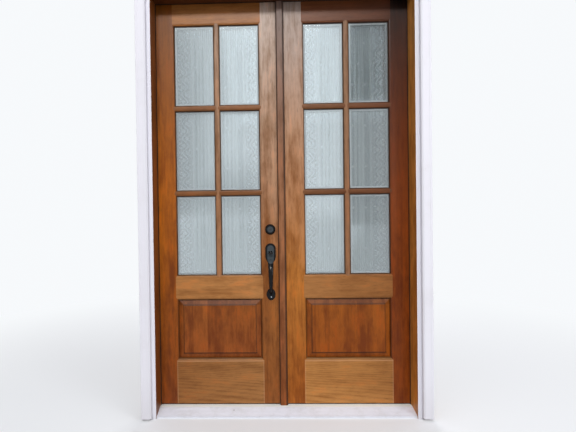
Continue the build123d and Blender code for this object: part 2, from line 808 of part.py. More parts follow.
def deadbolt():
    """Bolt bar with the flat tail whose upright slot the crank's pin drives."""
    y, h = DEADBOLT_Y / 2, DEADBOLT_Z / 2
    tip = LEAF_W - EDGE_BEVEL / 2 - 0.5
    bar = fillet(block(tip - 36, tip, -y, y, -h, h).edges().filter_by(Axis.X), 2.0)
    throw = DEADBOLT_THROW / 2
    back = LOCK_X - throw - 5
    # the tail runs above the tailpiece and rises at its end to hold the crank's pin
    tail = block(back, tip - 30, -1, 1, 5, h)
    ear = [(0, 5), (0, 19), (3, 22), (7, 22), (10, 19), (10, 5)]
    ear = prism_xz([(back + u, v) for u, v in ear], 1, -1)
    slot = block(LOCK_X - throw - 2.3, LOCK_X - throw + 2.3, -2, 2, 10.5, 20.5)
    return Pos(0, MID_Y, DEAD_UP) * (bar + tail + ear - slot)


def latch_bolt():
    """Spring latch with its slanted nose, and the tail that the hub pulls."""
    y, h = LATCH_Y / 2, LATCH_Z / 2
    tip = LEAF_W - EDGE_BEVEL / 2 - 0.5
    bar = block(tip - 26, tip, -y, y, -h, h)
    slant = [(tip - 10, -y - 1), (tip + 1, -y - 1), (tip + 1, y - 2.5), (tip, y - 2.5)]
    nose = prism_z(slant, -h - 1, h + 1)
    tail = block(LOCK_X + 9, tip - 20, -1.5, 1.5, -4, 4)
    return Pos(0, MID_Y, LATCH_UP) * ((bar - nose) + tail)


def deadbolt_turn():
    """Tailpiece and crank of the deadbolt, and the oval turn piece indoors."""
    z = DEAD_UP
    bar = block(LOCK_X - 4, LOCK_X + 4, 6, LEAF_T + IN_ROSE_T - 2, z - 1.2, z + 1.2)
    throw = DEADBOLT_THROW / 2
    arm_y0, arm_y1 = MID_Y + 1.6, MID_Y + 4.1
    reach = throw * sqrt(2)
    arm = block(-4, reach + 3, arm_y0, arm_y1, -3.5, 3.5)
    arm = arm + rod(6.0, (0, arm_y0, 0), (0, arm_y1, 0))
    arm = arm + rod(1.6, (reach, MID_Y - 1.5, 0), (reach, arm_y1, 0))
    # at rest the crank leans back, up and towards the hinges
    crank = Pos(LOCK_X, 0, z) * Rot(0, -135, 0) * arm
    slot = block(LOCK_X - 4.05, LOCK_X + 4.05, arm_y0 - 1, arm_y1 + 1, z - 1.25, z + 1.25)
    y0 = LEAF_T + IN_ROSE_T
    turn = rod(7.0, (LOCK_X, y0 - 1.5, z), (LOCK_X, y0 + 8, z))
    paddle = extrude(Ellipse(5.5, 18.0), amount=8, both=True)
    paddle = Pos(LOCK_X, y0 + 16, z) * Rot(90, 0, 0) * fillet(paddle.edges(), 1.4)
    return bar, crank - slot, turn + paddle


def outside_cylinder():
    """Deadbolt rose outdoors with the cylinder's housing in the bore, and its key plug."""
    z = DEAD_UP
    y = -ROSE_T
    cone = [(0, 0), (ROSE_R, 0), (ROSE_R, -4), (ROSE_R - 5, y + 2), (ROSE_R - 7, y), (0, y)]
    rose = Pos(LOCK_X, 0, z) * revolve(make_face(Polyline(*cone, close=True)), Axis.Y, 360)
    body = rod(21.0, (LOCK_X, 0, z), (LOCK_X, 6, z))
    body = body + rod(11.0, (LOCK_X, 0, z), (LOCK_X, 10, z))
    plug_y = 10.0
    body = (rose + body) - rod(PLUG_R + 0.06, (LOCK_X, y - 1, z), (LOCK_X, plug_y + 1, z))
    plug = rod(PLUG_R, (LOCK_X, y, z), (LOCK_X, 5.5, z))
    plug = plug - block(LOCK_X - 1.0, LOCK_X + 1.0, y - 1, y + 18, z - 5, z + 4)
    return body, plug


def inside_rose(z, hole_r):
    """Plain round rose on the indoor face."""
    dish = [(0, 0), (IN_ROSE_R, 0), (IN_ROSE_R, 3), (IN_ROSE_R - 4, IN_ROSE_T), (0, IN_ROSE_T)]
    rose = Pos(LOCK_X, LEAF_T, z) * revolve(make_face(Polyline(*dish, close=True)), Axis.Y, 360)
    return rose - rod(hole_r, (LOCK_X, LEAF_T - 1, z), (LOCK_X, LEAF_T + IN_ROSE_T + 1, z))


def inside_knob():
    """Turned knob with its square spindle into the latch bore."""
    z = LATCH_UP
    y0 = LEAF_T + 2.0
    base = LEAF_T + IN_ROSE_T
    lines = [
        Line((0, y0), (9.5, y0)),
        Line((9.5, y0), (9.5, base + 14)),
        ThreePointArc((9.5, base + 14), (19, base + 17), (24, base + 24)),
        ThreePointArc((24, base + 24), (KNOB_R, base + 34), (22, base + 46)),
        ThreePointArc((22, base + 46), (14, base + 50.5), (5, base + 52)),
        Line((5, base + 52), (0, base + 52)),
        Line((0, base + 52), (0, y0)),
    ]
    knob = Pos(LOCK_X, 0, z) * revolve(make_face(lines), Axis.Y, 360)
    w = SPINDLE_W / 2
    spindle = block(LOCK_X - w, LOCK_X + w, 10, y0, z - w, z + w)
    return knob, spindle


def escutcheon_outline():
    """Arched plate above the grip: round top, straight sides, shoulders that narrow to the grip."""
    w, h = ESC_W / 2, ESC_H / 2
    g = GRIP_TOP_W / 2
    lines = [
        Line((-w, -h + 34), (-w, h - w)),
        ThreePointArc((-w, h - w), (0, h), (w, h - w)),
        Line((w, h - w), (w, -h + 34)),
        ThreePointArc((w, -h + 34), (w - 4.5, -h + 16), (g, -h)),
        Line((g, -h), (-g, -h)),
        ThreePointArc((-g, -h), (-w + 4.5, -h + 16), (-w, -h + 34)),
    ]
    return make_face(lines)


def grip_handle():
    """One casting: arched plate, bowed grip and oval foot, standing on the outdoor face."""
    z = LATCH_UP
    front = Plane(origin=(LOCK_X, 0, z), x_dir=(1, 0, 0), z_dir=(0, -1, 0))
    plate = extrude(front * escutcheon_outline(), amount=ESC_T)
    plate = chamfer(plate.faces().sort_by(Axis.Y)[0].edges(), 2.5)
    foot_z = z - FOOT_DOWN
    oval = Plane(origin=(LOCK_X, 0, foot_z), x_dir=(1, 0, 0), z_dir=(0, -1, 0))
    foot = extrude(oval * Ellipse(FOOT_W / 2, FOOT_H / 2), amount=ESC_T)
    foot = fillet(foot.faces().sort_by(Axis.Y)[0].edges(), 6.0)
    top_z, low_z = z - ESC_H / 2 + 12, foot_z + 6
    span = top_z - low_z
    stations = 8
    sections = []
    for i in range(stations + 1):
        s = i / stations
        reach = GRIP_REACH - GRIP_T / 2
        y = -4 - (reach - 4) * sin(pi * s) ** 0.55 if 0 < i < stations else -4.0
        zz = top_z - span * s
        slope = (pi * (reach - 4) * 0.55 * cos(pi * s) * max(sin(pi * s), 0.12) ** -0.45) / span
        width = GRIP_TOP_W + (GRIP_END_W - GRIP_TOP_W) * s
        way = Vector(0, -slope, -1).normalized()
        if i == 0:
            way = Vector(0, -1, -0.12).normalized()
        if i == stations:
            way = Vector(0, 1, -0.12).normalized()
        section = Plane(origin=(LOCK_X, y, zz), x_dir=(1, 0, 0), z_dir=way)
        sections.append(section * Ellipse(width / 2, GRIP_T / 2))
    grip = loft(sections)
    handle = plate + foot + (grip - block(0, LEAF_W, -1.0, 60, 0, LEAF_H))
    slot = block(LOCK_X - THUMB_W / 2 - 0.5, LOCK_X + THUMB_W / 2 + 0.5, -30, 5, z - 9, z + 9)
    pivot = rod(THUMB_PIN_R + PIN_FIT, thumb_pin(-1), thumb_pin(1))
    return handle - slot - pivot


def thumb_pin(end):
    """End of the thumb piece's pivot pin, a little way into the plate on either side."""
    return LOCK_X + end * (THUMB_W / 2 + 4), -ESC_T / 2, LATCH_UP


def thumb_piece():
    """Lever pressed by the thumb: a dished pad outdoors, and a tail that lifts the latch's hub."""
    w = THUMB_W / 2
    out = ESC_T + THUMB_L
    pad = [
        (0, 2.0),
        (-ESC_T, 2.0),
        (-ESC_T - 6, 3.0),
        (-out + 6, 0.5),
        (-out, -3.0),
        (-out, -5.5),
        (-out + 6, -2.5),
        (-ESC_T - 6, -1.0),
        (-ESC_T, -2.0),
        (0, -2.0),
    ]
    drop, reach, thick = 14.0, 18.0, 3.0
    tail = [
        (-3.0, 2.0),
        (0.5, 2.0),
        (4.0, thick - drop),
        (reach, thick - drop),
        (reach, -drop),
        (3.0, -drop),
        (-3.0, -2.0),
    ]
    shape = prism_x(pad, LOCK_X - w, LOCK_X + w) + prism_x(tail, LOCK_X - 6, LOCK_X + 6)
    return Pos(0, 0, LATCH_UP) * shape + rod(THUMB_PIN_R, thumb_pin(-0.97), thumb_pin(0.97))


def curtain():
    """Gathered sash curtain between its two rods, in the leaf's own frame."""
    x0, x1 = GLASS_X0 - CURTAIN_PAST, GLASS_X1 + CURTAIN_PAST
    yc = LEAF_T + ROD_OFF
    bays = CURTAIN_FOLDS * 2
    pitch = (x1 - x0) / bays

    def fold(i, shift):
        """One bay of cloth, bulging outdoors and indoors by turns and never quite alike."""
        swing = CURTAIN_SWING * (0.8 + 0.2 * sin(2.4 * i + 0.6)) * (1 if i % 2 else -1)
        a, y = x0 + i * pitch, yc + shift
        return ThreePointArc((a, y), (a + pitch / 2, y + swing), (a + pitch, y))

    near = [fold(i, -CURTAIN_T / 2) for i in range(bays)]
    far = [fold(i, CURTAIN_T / 2) for i in range(bays)]
    ends = [Line(near[0] @ 0, far[0] @ 0), Line(near[-1] @ 1, far[-1] @ 1)]
    z0 = GLASS_Z0 - ROD_PAST + ROD_CURTAIN_R + RUN_CLEAR
    z1 = GLASS_Z1 + ROD_PAST - ROD_CURTAIN_R - RUN_CLEAR
    return Pos(0, 0, z0) * extrude(make_face(near + far + ends), amount=z1 - z0, dir=(0, 0, 1))


def curtain_rods():
    """Upper and lower rod, each with its two brackets on the rail."""
    x0, x1 = GLASS_X0 - 14, GLASS_X1 + 14
    yc = LEAF_T + ROD_OFF
    shapes = []
    for z in (GLASS_Z1 + ROD_PAST, GLASS_Z0 - ROD_PAST):
        bar = rod(ROD_CURTAIN_R, (x0, yc, z), (x1, yc, z))
        for x in (x0 + 3, x1 - 3):
            bar = bar + block(x - 3, x + 3, LEAF_T, yc, z - 4, z + 4)
            bar = bar + block(x - 3, x + 3, LEAF_T, LEAF_T + 2.5, z - 16, z + 16)
        shapes.append(bar)
    return joined(shapes)


def leaf_nodes():
    """Everything that both leaves have, in the leaf's own frame."""
    hinge, lock = stiles()
    top, mid, low = rails(hinge, lock)
    upright, cross = glazing_bars(hinge, lock, top, mid)
    panes, spacers, beads = glazing()
    return {
        "hinge_stile": hinge,
        "lock_stile": lock,
        "top_rail": top,
        "lock_rail": mid,
        "bottom_rail": low,
        "upright_bar": upright,
        "cross_bars": cross,
        "raised_panel": raised_panel(),
        "panes": panes,
        "spacers": spacers,
        "glazing_beads": beads,
        "curtain": curtain(),
        "curtain_rods": curtain_rods(),
    }


def to_left(shape):
    """From the leaf's own frame to the left leaf's place in the part."""
    return Pos(-HINGE_EDGE, 0, LEAF_Z) * shape


def mirrored(shape):
    return joined([mirror(s, about=Plane.YZ) for s in solids(shape)])


def build():
    nodes = {}
    jamb_left = side_jamb()
    jamb_right = mirrored(jamb_left)
    nodes["left_jamb"], nodes["right_jamb"] = jamb_left, jamb_right
    nodes["head_jamb"] = head_jamb(jamb_left, jamb_right)
    leg, head = brickmoulds()
    nodes["left_brickmould"], nodes["right_brickmould"] = leg, mirrored(leg)
    nodes["head_brickmould"] = head
    core, cover, cap = sill(jamb_left, jamb_right)
    nodes["sill_core"], nodes["sill_cover"], nodes["threshold_cap"] = core, cover, cap
    side_seal, head_seal = weatherstrips()
    nodes["frame_seals"] = joined([side_seal, mirrored(side_seal), head_seal])
    nodes["rod_strikes"] = joined(
        [rod_strike(HEAD_Z, HEAD_Z + PLATE_T), rod_strike(SILL_TOP - PLATE_T, SILL_TOP)]
    )

    frame_leaf, door_leaf, pins = hinge_sets()
    nodes["frame_hinges"] = joined([frame_leaf, mirrored(frame_leaf)])
    nodes["hinge_pins"] = joined([pins, mirrored(pins)])
    nodes["left_door_hinges"], nodes["right_door_hinges"] = door_leaf, mirrored(door_leaf)

    door_cuts = hinge_mortises(1)
    sweep = sweep_seal()
    rod_hole = rod(ROD_R + 1, (-ROD_X, MID_Y, SILL_TOP - 1), (-ROD_X, MID_Y, LEAF_Z + 1))
    for name, shape in leaf_nodes().items():
        left = to_left(shape)
        if name == "hinge_stile":
            left = minus(left, *door_cuts)
        right = mirrored(left)
        if name == "lock_stile":
            left = to_left(minus(shape, *lock_stile_cuts()))
            right = minus(right, *(bolt_pockets() + flush_pockets()))
        nodes[f"left_{name}"], nodes[f"right_{name}"] = left, right
    nodes["left_sweep"] = sweep
    nodes["right_sweep"] = mirrored(sweep - rod_hole)

    nodes["astragal"] = astragal()
    nodes["lock_strikes"] = joined(strikes())
    moving, plates = flush_bolts()
    nodes["upper_flush_bolt"], nodes["lower_flush_bolt"] = moving
    nodes["flush_bolt_plates"] = joined(plates)

    cylinder, plug = outside_cylinder()
    tail, crank, turn = deadbolt_turn()
    knob, spindle = inside_knob()
    lock = {
        "deadbolt_cylinder": cylinder,
        "key_plug": plug,
        "bolt_cases": joined(
            [
                bolt_case(DEAD_UP, DEADBOLT_Y, DEADBOLT_Z),
                bolt_case(LATCH_UP, LATCH_Y, LATCH_Z),
            ]
        ),
        "deadbolt_bolt": deadbolt(),
        "deadbolt_crank": joined([tail, crank]),
        "thumbturn": turn,
        "inside_roses": joined([inside_rose(DEAD_UP, 7.3), inside_rose(LATCH_UP, 9.8)]),
        "latch_bolt": latch_bolt(),
        "grip_handle": grip_handle(),
        "thumb_piece": thumb_piece(),
        "inside_knob": knob,
        "knob_spindle": spindle,
    }
    for name, shape in lock.items():
        nodes[name] = to_left(shape)
    return nodes


for node, shape in build().items():
    export_step(shape, f"parts/{node}.step")
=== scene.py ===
"""Looks of the french doors: varnished wood, glass, sheer lace curtains, fittings and paint.

Metres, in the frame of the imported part: X along the wall, Y from outdoors to indoors, Z up.
"""

import math

import bpy
from mathutils import Matrix, Vector


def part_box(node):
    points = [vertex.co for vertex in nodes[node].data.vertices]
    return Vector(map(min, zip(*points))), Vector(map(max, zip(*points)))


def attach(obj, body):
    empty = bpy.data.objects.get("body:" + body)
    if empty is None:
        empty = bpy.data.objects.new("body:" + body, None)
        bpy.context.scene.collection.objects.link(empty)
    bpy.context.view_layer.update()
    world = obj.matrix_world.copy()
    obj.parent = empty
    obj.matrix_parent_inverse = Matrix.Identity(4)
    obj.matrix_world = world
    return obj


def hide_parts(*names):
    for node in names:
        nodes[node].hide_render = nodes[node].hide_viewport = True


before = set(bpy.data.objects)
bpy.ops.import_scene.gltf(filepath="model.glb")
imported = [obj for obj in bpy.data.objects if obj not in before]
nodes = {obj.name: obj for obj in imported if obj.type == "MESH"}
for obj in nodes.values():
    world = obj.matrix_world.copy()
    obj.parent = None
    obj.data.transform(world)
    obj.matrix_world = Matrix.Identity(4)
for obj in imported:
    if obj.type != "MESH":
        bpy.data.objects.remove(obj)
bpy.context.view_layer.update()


def srgb(red, green, blue):
    """A colour on the 0 to 255 scale, as linear light."""

    def linear(v):
        v /= 255
        return v / 12.92 if v <= 0.04045 else ((v + 0.055) / 1.055) ** 2.4

    return tuple(linear(v) for v in (red, green, blue))


# --- shader maths


class Value:
    """A shader socket that takes part in arithmetic; every operation adds its Math node."""

    def __init__(self, paint, socket):
        self.paint, self.socket = paint, socket

    def math(self, operation, *others):
        inputs = dict(enumerate((self, *others)))
        return self.paint.node("Math", inputs, {"operation": operation})

    def __add__(self, other):
        return self.math("ADD", other)

    def __sub__(self, other):
        return self.math("SUBTRACT", other)

    def __rsub__(self, other):
        return self.paint.node("Math", {0: other, 1: self}, {"operation": "SUBTRACT"})

    def __mul__(self, other):
        return self.math("MULTIPLY", other)

    def __truediv__(self, other):
        return self.math("DIVIDE", other)

    def __pow__(self, other):
        return self.math("POWER", other)

    def __gt__(self, other):
        return self.math("GREATER_THAN", other)

    def __lt__(self, other):
        return self.math("LESS_THAN", other)

    def __abs__(self):
        return self.math("ABSOLUTE")

    __radd__ = __add__
    __rmul__ = __mul__

    def step(self, low, high):
        """0 below low, 1 above high and smooth between; low above high turns it round."""
        falling = low > high
        a, b = (high, low) if falling else (low, high)
        inputs = {"Value": self, "From Min": a, "From Max": b}
        rise = self.paint.node("MapRange", inputs, {"interpolation_type": "SMOOTHSTEP"})
        return 1 - rise if falling else rise


def most(first, *others):
    """The largest of some values, of which the first is a socket."""
    for other in others:
        first = first.math("MAXIMUM", other)
    return first


def least(first, *others):
    """The smallest of some values, of which the first is a socket."""
    for other in others:
        first = first.math("MINIMUM", other)
    return first


class Paint:
    """A material, or the world, under construction."""

    def __init__(self, name, world=None):
        self.material = world or bpy.data.materials.new(name)
        self.material.use_nodes = True
        self.tree = self.material.node_tree
        self.tree.nodes.clear()

    def node(self, kind, inputs=None, settings=None, out=0):
        """Add a node of a kind, with its settings first and then its sockets' values or links."""
        made = self.tree.nodes.new("ShaderNode" + kind)
        for key, value in (settings or {}).items():
            if key == "stops":
                self._stops(made.color_ramp, value)
            else:
                setattr(made, key, value)
        for key, value in (inputs or {}).items():
            socket = made.inputs[key]
            if isinstance(value, Value):
                self.tree.links.new(value.socket, socket)
            elif socket.type == "RGBA" and len(value) == 3:
                socket.default_value = (*value, 1)
            else:
                socket.default_value = value
        return Value(self, made.outputs[out]) if made.outputs else None

    @staticmethod
    def _stops(ramp, stops):
        while len(ramp.elements) < len(stops):
            ramp.elements.new(1)
        while len(ramp.elements) > len(stops):
            ramp.elements.remove(ramp.elements[-1])
        for element, (position, colour) in zip(ramp.elements, stops):
            element.position, element.color = position, (*colour, 1)

    def axes(self, kind="Object"):
        """The three coordinates of a point on the piece."""
        place = self.node("TexCoord", out=kind)
        return [self.node("SeparateXYZ", {0: place}, out=i) for i in range(3)]

    def point(self, x, y, z):
        return self.node("CombineXYZ", {0: x, 1: y, 2: z})

    def noise(self, vector, scale, detail=2.0, rough=0.5, distortion=0.0):
        inputs = {
            "Vector": vector,
            "Scale": scale,
            "Detail": detail,
            "Roughness": rough,
            "Distortion": distortion,
        }
        return self.node("TexNoise", inputs)

    def brush_marks(self, x, y, z):
        """Fine upright streaks, as a paint brush leaves them."""
        return self.noise(self.point(x, y, z * 0.02), 700.0)

    def mix(self, share, a, b, blend="MIX"):
        """Colour a with a share of colour b over it."""
        settings = {"data_type": "RGBA", "blend_type": blend}
        return self.node("Mix", {0: share, 6: a, 7: b}, settings, out=2)

    def ramp(self, value, *stops):
        return self.node("ValToRGB", {0: value}, {"stops": stops})

    def bump(self, height, strength, distance):
        inputs = {"Strength": strength, "Distance": distance, "Height": height}
        return self.node("Bump", inputs)

    def surface(self, **inputs):
        """The finish itself; a socket's name is written with _ for a space."""
        named = {key.replace("_", " "): value for key, value in inputs.items()}
        return self.node("BsdfPrincipled", named)

    def mirrored(self):
        """1 for what is seen in a mirror; else 0."""
        return self.node("LightPath", out="Is Glossy Ray")

    def seen(self):
        """1 for what looks straight at a surface, also in a mirror or through glass; else 0."""
        straight = self.node("LightPath", out="Is Camera Ray")
        through = self.node("LightPath", out="Is Transmission Ray")
        return most(straight, self.mirrored(), through)

    def finish(self, shader, kind="OutputMaterial"):
        self.node(kind, {0: shader})
        return self.material


# --- wood

CASING_WHITE = srgb(228, 227, 236)
PAINT_ROUGH = 0.45
PAINT_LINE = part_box("left_jamb")[0].y + 0.0012  # the jambs are white in front of this depth

BOARD_SHIFT = 3.17  # metres between the places in the noise that two boards take their grain from
# how strongly the broad bands, the stripes and the blotches show, by way of the grain
PATTERNS = {
    "upright": (0.80, 0.55, 0.85),
    "level": (0.58, 0.40, 0.62),
    "staves": (0.80, 0.40, 1.05),
}

# distances from the edge of a raised panel
GROOVE_EDGE = 0.010  # just out of the groove
SIDE_BEVEL = 0.034  # width of the bevels at the sides
STEP_FOOT = 0.0415  # where the bevel meets the small step up to the field
FIELD_EDGE = 0.0432

MOULDING = 0.014  # width of the moulded edge of stiles and rails
MOULDING_BACK = 0.020  # its depth, from the face of the leaf
MEETING_EDGE, LEAF_SIDE = 0.014, 0.758  # a leaf's outdoor face lies between these, from the middle
PANEL_TO_LITES = (0.66, 0.72)  # heights in the lock rails
# the astragal's darker rounded edges are painted shade
ASTRAGAL_ROUNDS = (0.0075, 0.0140)  # how wide its darker rounded edges are, left and right


def arches(paint, across, y, along, seed):
    """Nested arches round the heart of a flat-sawn board, from 0 to 1."""
    here = paint.point(across * 3 + seed * BOARD_SHIFT, y * 3, along * 0.8)
    wander = paint.noise(here, 1.0)
    centre = across - (seed * 0.618 % 1 - 0.5) * 0.05 - (wander - 0.5) * 0.10
    rings = (centre * centre * 120.0 + along * 2.6 + wander * 2.5) * 9.0
    return (rings.math("SINE") * 0.5 + 0.5) ** 2


def panel_painted_shade(x, z, low, high):
    """How much painted shade lies round the raised field of a panel: in the corner at its step,
    next to the groove, on the bottom bevel and under the rail above.
    """
    near_side = least(x - low.x, high.x - x)
    edge = least(near_side, least(z - low.z, high.z - z))
    corner = edge.step(0.030, STEP_FOOT) * (edge < FIELD_EDGE)
    corner = corner + edge.step(0.017, GROOVE_EDGE) * 0.7
    rise = z - low.z
    ledge = rise.step(0.028, STEP_FOOT) * (rise < FIELD_EDGE) * (near_side > SIDE_BEVEL)
    lid = (high.z - z).step(0.0440, 0.0380)
    return least(corner * 0.48 + ledge * 0.36 + lid * 0.26, 0.85)


def moulding_painted_shade(x, y, z):
    """How much painted shade lies in the mouldings round the glass and the panels, less of it
    round the panels.
    """
    leaf_face = (abs(x) > MEETING_EDGE) * (abs(x) < LEAF_SIDE)
    sunk = y.step(0.0018, 0.0048) * (y < MOULDING_BACK) * leaf_face
    return sunk * (z.step(*PANEL_TO_LITES) * 0.24 + 0.58)


def arris_painted_highlight(x, y, z, low, high):
    """How much painted highlight lies on the top arris and the ends of the lowest rail, on its
    outdoor face.
    """
    end = least(x - low.x, high.x - x).step(0.0075, 0.0035) * 0.5
    arris = most(end, (high.z - MOULDING - z).step(0.0085, 0.0035))
    return arris * (y < 0.0015) * 0.46


def astragal_painted_shade(x, low, high):
    """How much painted shade lies on the rounded edges of the astragal."""
    left, right = ASTRAGAL_ROUNDS
    left_round = x.step(low.x + left, low.x + left * 0.6)
    right_round = x.step(high.x - right, high.x - right * 0.6)
    return (left_round + right_round) * 0.75


def wood(board, seed, grain, tones_and_light, figure=0.0, staves=0.0):
    """Varnished hardwood: streaks, blotches, pores and, for flat-sawn boards, arched figure.

    The stain's colours from one end of the board to the other (foot to head, or left to right)
    are given in order; on some boards they also carry painted shade and painted sheen. figure
    is how strong the arches are, and staves the width of the strips that a wide panel is glued
    up from.
    """
    paint = Paint(f"wood_{board}")
    x, y, z = paint.axes()
    along, across = (z, x) if grain == "upright" else (x, z)
    low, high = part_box(board)
    first, last = (low.z, high.z) if grain == "upright" else (low.x, high.x)
    shift = seed * BOARD_SHIFT
    strip = 0.0
    if staves:
        strip = (across / staves + shift).math("FLOOR")
        stave_tone = paint.node("TexWhiteNoise", {"W": strip}, {"noise_dimensions": "1D"})
        strip = strip * 1.7

    # slow coordinates along the fibres make every pattern long and narrow
    lie = paint.point(across + shift, y, along * 0.09 + strip)
    broad = paint.noise(lie, 11.0, 3.0, 0.6, 0.4) - 0.5
    stripe = paint.noise(lie, 75.0, 2.0, 0.5, 0.2) - 0.5
    fibre = paint.noise(paint.point(across, y, along * 0.03), 900.0, 2.0, 0.6) - 0.5
    pore = paint.noise(paint.point(across, y, along * 0.05), 420.0, 1.0).step(0.64, 0.72)
    blotch = paint.noise(paint.point(across + shift, y, along * 0.42), 15.0, 4.0, 0.62) - 0.5
    bands, stripes, blotches = PATTERNS["staves" if staves else grain]
    shade = broad * bands + stripe * stripes + blotch * blotches + fibre * 0.42 + 0.5
    if figure:
        shade = shade - (arches(paint, across, y, along, seed) - 0.35) * (0.13 * figure)
    if staves:
        shade = shade + (stave_tone - 0.5) * 0.26

    # the colours from end to end, with their painted shade and sheen, show on the outdoor face;
    # indoors the board keeps a middle tone
    place = (along - first) / (last - first)
    place = place + (0.4 - place) * y.step(0.010, 0.042)
    spots = [(i / max(1, len(tones_and_light) - 1), srgb(*colour)) for i, colour in enumerate(tones_and_light)]
    stain_and_light = paint.ramp(place + broad * 0.25 + blotch * 0.2, *spots)
    dark = paint.mix(1.0, stain_and_light, (0.58, 0.48, 0.36), "MULTIPLY")
    light = paint.mix(1.0, stain_and_light, (1.30, 1.32, 1.30), "MULTIPLY")
    tint = paint.mix(shade.step(0.62, 0.18), stain_and_light, dark)
    tint = paint.mix(shade.step(0.45, 0.95), tint, light)
    red = paint.mix(1.0, tint, (1.16, 0.84, 0.62), "MULTIPLY")
    tint = paint.mix((blotch + stripe * 0.5).step(0.02, 0.22) * 0.45, tint, red)
    tint = paint.mix(pore * 0.45, tint, (0.012, 0.006, 0.003))
    # painted shade in the panel corners and the mouldings, a painted highlight on the lowest
    # rail's arrises and painted shade on the astragal's rounded edges
    if staves:
        tint = paint.mix(panel_painted_shade(x, z, low, high), tint, (0.020, 0.008, 0.003))
    if any(kind in board for kind in ("stile", "rail", "bar")):
        tint = paint.mix(moulding_painted_shade(x, y, z), tint, (0.022, 0.009, 0.003))
    if "bottom_rail" in board:
        tint = paint.mix(arris_painted_highlight(x, y, z, low, high), tint, srgb(198, 150, 114))
    if board == "astragal":
        tint = paint.mix(astragal_painted_shade(x, low, high), tint, (0.014, 0.006, 0.003))

    rough = 0.36 + broad * 0.25 + pore * 0.12
    if "jamb" in board:
        coat = y < PAINT_LINE
        dull = paint.brush_marks(x, y, z) * 0.12
        tint = paint.mix(coat, tint, paint.mix(dull, CASING_WHITE, srgb(186, 182, 184)))
        rough = rough * (1 - coat) + coat * PAINT_ROUGH
    shader = paint.surface(
        Base_Color=tint,
        Roughness=rough,
        Normal=paint.bump(stripe * 0.3 + fibre * 0.4 - pore * 0.9, 0.16, 0.0008),
        Specular_IOR_Level=0.22,
    )
    return paint.finish(shader)


def dress(material, *names):
    """Give nodes of the part their finish."""
    for name in names:
        nodes[name].data.materials.clear()
        nodes[name].data.materials.append(material)


# board: way of the grain, stain from end to end, which on some boards also carries painted shade
# and painted sheen, strength of the figure, width of the staves
BOARDS = {
    # the darker head is painted shade from the head of the frame
    "left_hinge_stile": ("upright", [(116, 56, 18), (170, 94, 20), (112, 62, 6)], 0.2),
    # the pale greyish upper end is partly weathered varnish and partly painted sheen of the sky in
    # the varnish
    "left_lock_stile": (
        "upright",
        [(124, 70, 30), (148, 90, 40), (170, 134, 108), (174, 154, 142)],
        0.2,
    ),
    "left_top_rail": ("level", [(156, 100, 46), (152, 98, 50)], 0.3),
    "left_lock_rail": ("level", [(170, 117, 66), (172, 118, 68)], 0.5),
    "left_bottom_rail": ("level", [(136, 88, 46), (150, 102, 58)], 1.0),
    "left_upright_bar": ("upright", [(150, 104, 70), (160, 126, 100)]),
    "left_cross_bars": ("level", [(128, 82, 46), (128, 82, 46)]),
    "left_raised_panel": ("upright", [(138, 72, 28), (138, 76, 28)], 0.2, 0.086),
    # the near black head is painted shadow
    "right_hinge_stile": ("upright", [(130, 62, 14), (122, 56, 12), (22, 6, 0)], 0.2),
    # the pale greyish upper end is partly weathered varnish and partly painted sheen of the sky in
    # the varnish
    "right_lock_stile": (
        "upright",
        [(152, 84, 26), (168, 104, 42), (172, 130, 100), (156, 140, 132)],
        0.3,
    ),
    # darker than the left rail, most of all to the right: painted shade
    "right_top_rail": ("level", [(112, 64, 34), (78, 40, 18)], 0.3),
    "right_lock_rail": ("level", [(164, 112, 64), (142, 92, 48)], 0.6),
    "right_bottom_rail": ("level", [(172, 118, 64), (152, 102, 54)], 1.0),
    "right_upright_bar": ("upright", [(144, 102, 72), (134, 98, 70)]),
    "right_cross_bars": ("level", [(124, 80, 48), (104, 60, 32)]),
    "right_raised_panel": ("upright", [(136, 68, 16), (138, 74, 20)], 0.2, 0.083),
    "astragal": ("upright", [(134, 76, 38), (146, 98, 66), (110, 90, 82)]),
    "left_jamb": ("upright", [(124, 68, 28), (132, 76, 34)]),
    # painted light: much lighter than the left jamb, to lift the shade its reveal lies in
    "right_jamb": ("upright", [(200, 130, 56), (204, 138, 66)]),
    "head_jamb": ("level", [(104, 60, 32)]),
    "sill_core": ("level", [(120, 80, 50)]),
    "threshold_cap": ("level", [(140, 96, 58)], 0.3),
    "left_glazing_beads": ("upright", [(138, 84, 46)]),
    "right_glazing_beads": ("upright", [(134, 80, 42)]),
}
for seed, (board, look) in enumerate(BOARDS.items(), start=1):
    dress(wood(board, seed, *look), board)


# --- paint, metal, rubber and glass


def paintwork(name, colour):
    """Brushed exterior paint: faint drag marks, a little grime and soft unevenness."""
    paint = Paint(name)
    x, y, z = paint.axes()
    here = paint.point(x, y, z)
    drag = paint.brush_marks(x, y, z)
    cloud = paint.noise(here, 5.0, 4.0, 0.6)
    speck = paint.noise(here, 60.0, 4.0, 0.7).step(0.60, 0.75)
    grime = cloud.step(0.45, 0.85) * 0.14 + z.step(0.30, 0.0) * 0.16 + speck * 0.10
    grimy = tuple(c * k for c, k in zip(colour, (0.55, 0.50, 0.45)))
    shader = paint.surface(
        Base_Color=paint.mix(grime, colour, grimy),
        Roughness=PAINT_ROUGH + (drag - 0.5) * 0.15,
        Normal=paint.bump(drag * 0.5 + cloud * 0.5, 0.10, 0.0006),
        Specular_IOR_Level=0.3,
    )
    return paint.finish(shader)


